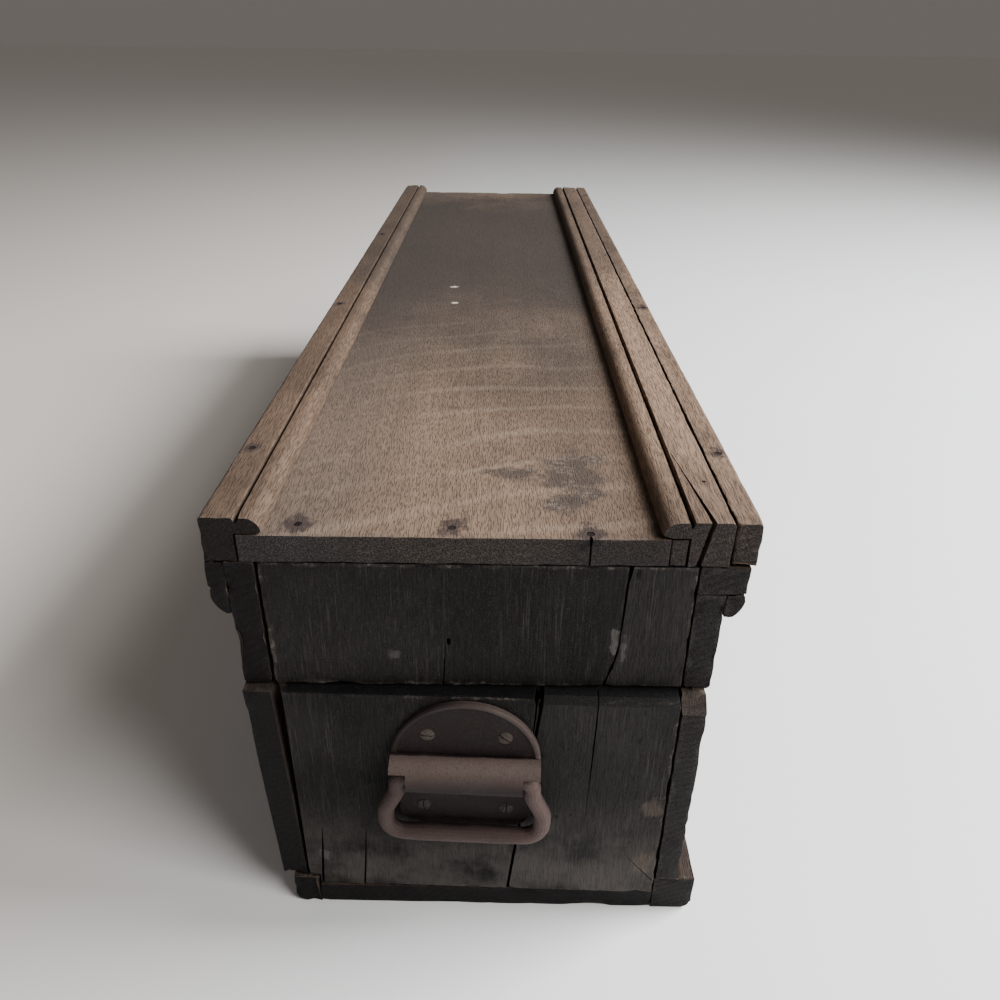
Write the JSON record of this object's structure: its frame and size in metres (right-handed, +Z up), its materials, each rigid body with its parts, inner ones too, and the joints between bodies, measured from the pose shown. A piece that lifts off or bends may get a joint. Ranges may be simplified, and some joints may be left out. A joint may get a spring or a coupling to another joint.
{
  "type": "sliding lid tool box",
  "caption": "Long narrow wooden tool box whose lid and upper end board slide out of moulded rails, with drop handles on the ends.",
  "frame": {"origin": "middle of the box's footprint, on the surface it stands on", "axes": "+Z up, +Y along the box away from the end the lid is drawn towards, +X to the right when facing that end"},
  "size_m": [0.2194, 0.8405, 0.2225],
  "materials": {
    "oak_lid": "aged bare oak, dry and dusty",
    "oak_rail": "aged oak, rubbed along its edges",
    "oak_side": "dark aged oak",
    "oak_end": "nearly black old finish on vertical grain",
    "oak_base": "dark grimy oak",
    "oak_inside": "bare inside wood, browned by age",
    "rusty_iron": "dark red-brown rust worn smooth on the high spots",
    "old_nail": "dark corroded steel"
  },
  "bodies": {
    "box": {"front_plank_left": "oak_end", "front_plank_right": "oak_end", "back_plank_left": "oak_end", "back_plank_right": "oak_end", "back_upper_board": "oak_end", "rail_left": "oak_rail", "rail_right": "oak_rail", "rail_right_outer": "oak_rail", "cornice_left": "oak_rail", "cornice_right": "oak_rail", "packing_right": "oak_rail", "upper_side_left": "oak_side", "upper_side_right": "oak_side", "lower_side_left": "oak_side", "lower_side_right": "oak_side", "bottom_board": "oak_base", "runner_left": "oak_base", "runner_right": "oak_base", "corner_post_front_left": "oak_inside", "corner_post_front_right": "oak_inside", "corner_post_back_left": "oak_inside", "corner_post_back_right": "oak_inside", "side_cleat_left": "oak_inside", "side_cleat_right": "oak_inside", "lid_ledge_right": "oak_inside", "front_handle_plate": "rusty_iron", "front_handle_screws": "rusty_iron", "back_handle_plate": "rusty_iron", "back_handle_screws": "rusty_iron", "rail_nails": "old_nail", "cornice_nails": "old_nail", "side_nails": "old_nail", "bottom_nails": "old_nail"},
    "lid": {"lid_panel": "oak_lid", "lid_edge_strip": "oak_lid", "lid_front_board": "oak_end", "lid_front_piece": "oak_end", "lid_batten": "oak_inside", "lid_nails": "old_nail"},
    "front_bail": {"front_handle_bail": "rusty_iron"},
    "back_bail": {"back_handle_bail": "rusty_iron"}
  },
  "joints": [
    {"name": "lid_slide", "type": "slide", "parent": "box", "child": "lid", "axis": [0, -1, 0], "range_m": [0, 0.81]},
    {"name": "front_bail_swing", "type": "hinge", "parent": "box", "child": "front_bail", "pos_m": [-0.00646, -0.41312, 0.0977], "axis": [-0.9995, 0.0249, 0.0209], "range_deg": [0, 95]},
    {"name": "back_bail_swing", "type": "hinge", "parent": "box", "child": "back_bail", "pos_m": [-0.0063, 0.41395, 0.0977], "axis": [1, 0, 0], "range_deg": [0, 95]}
  ]
}
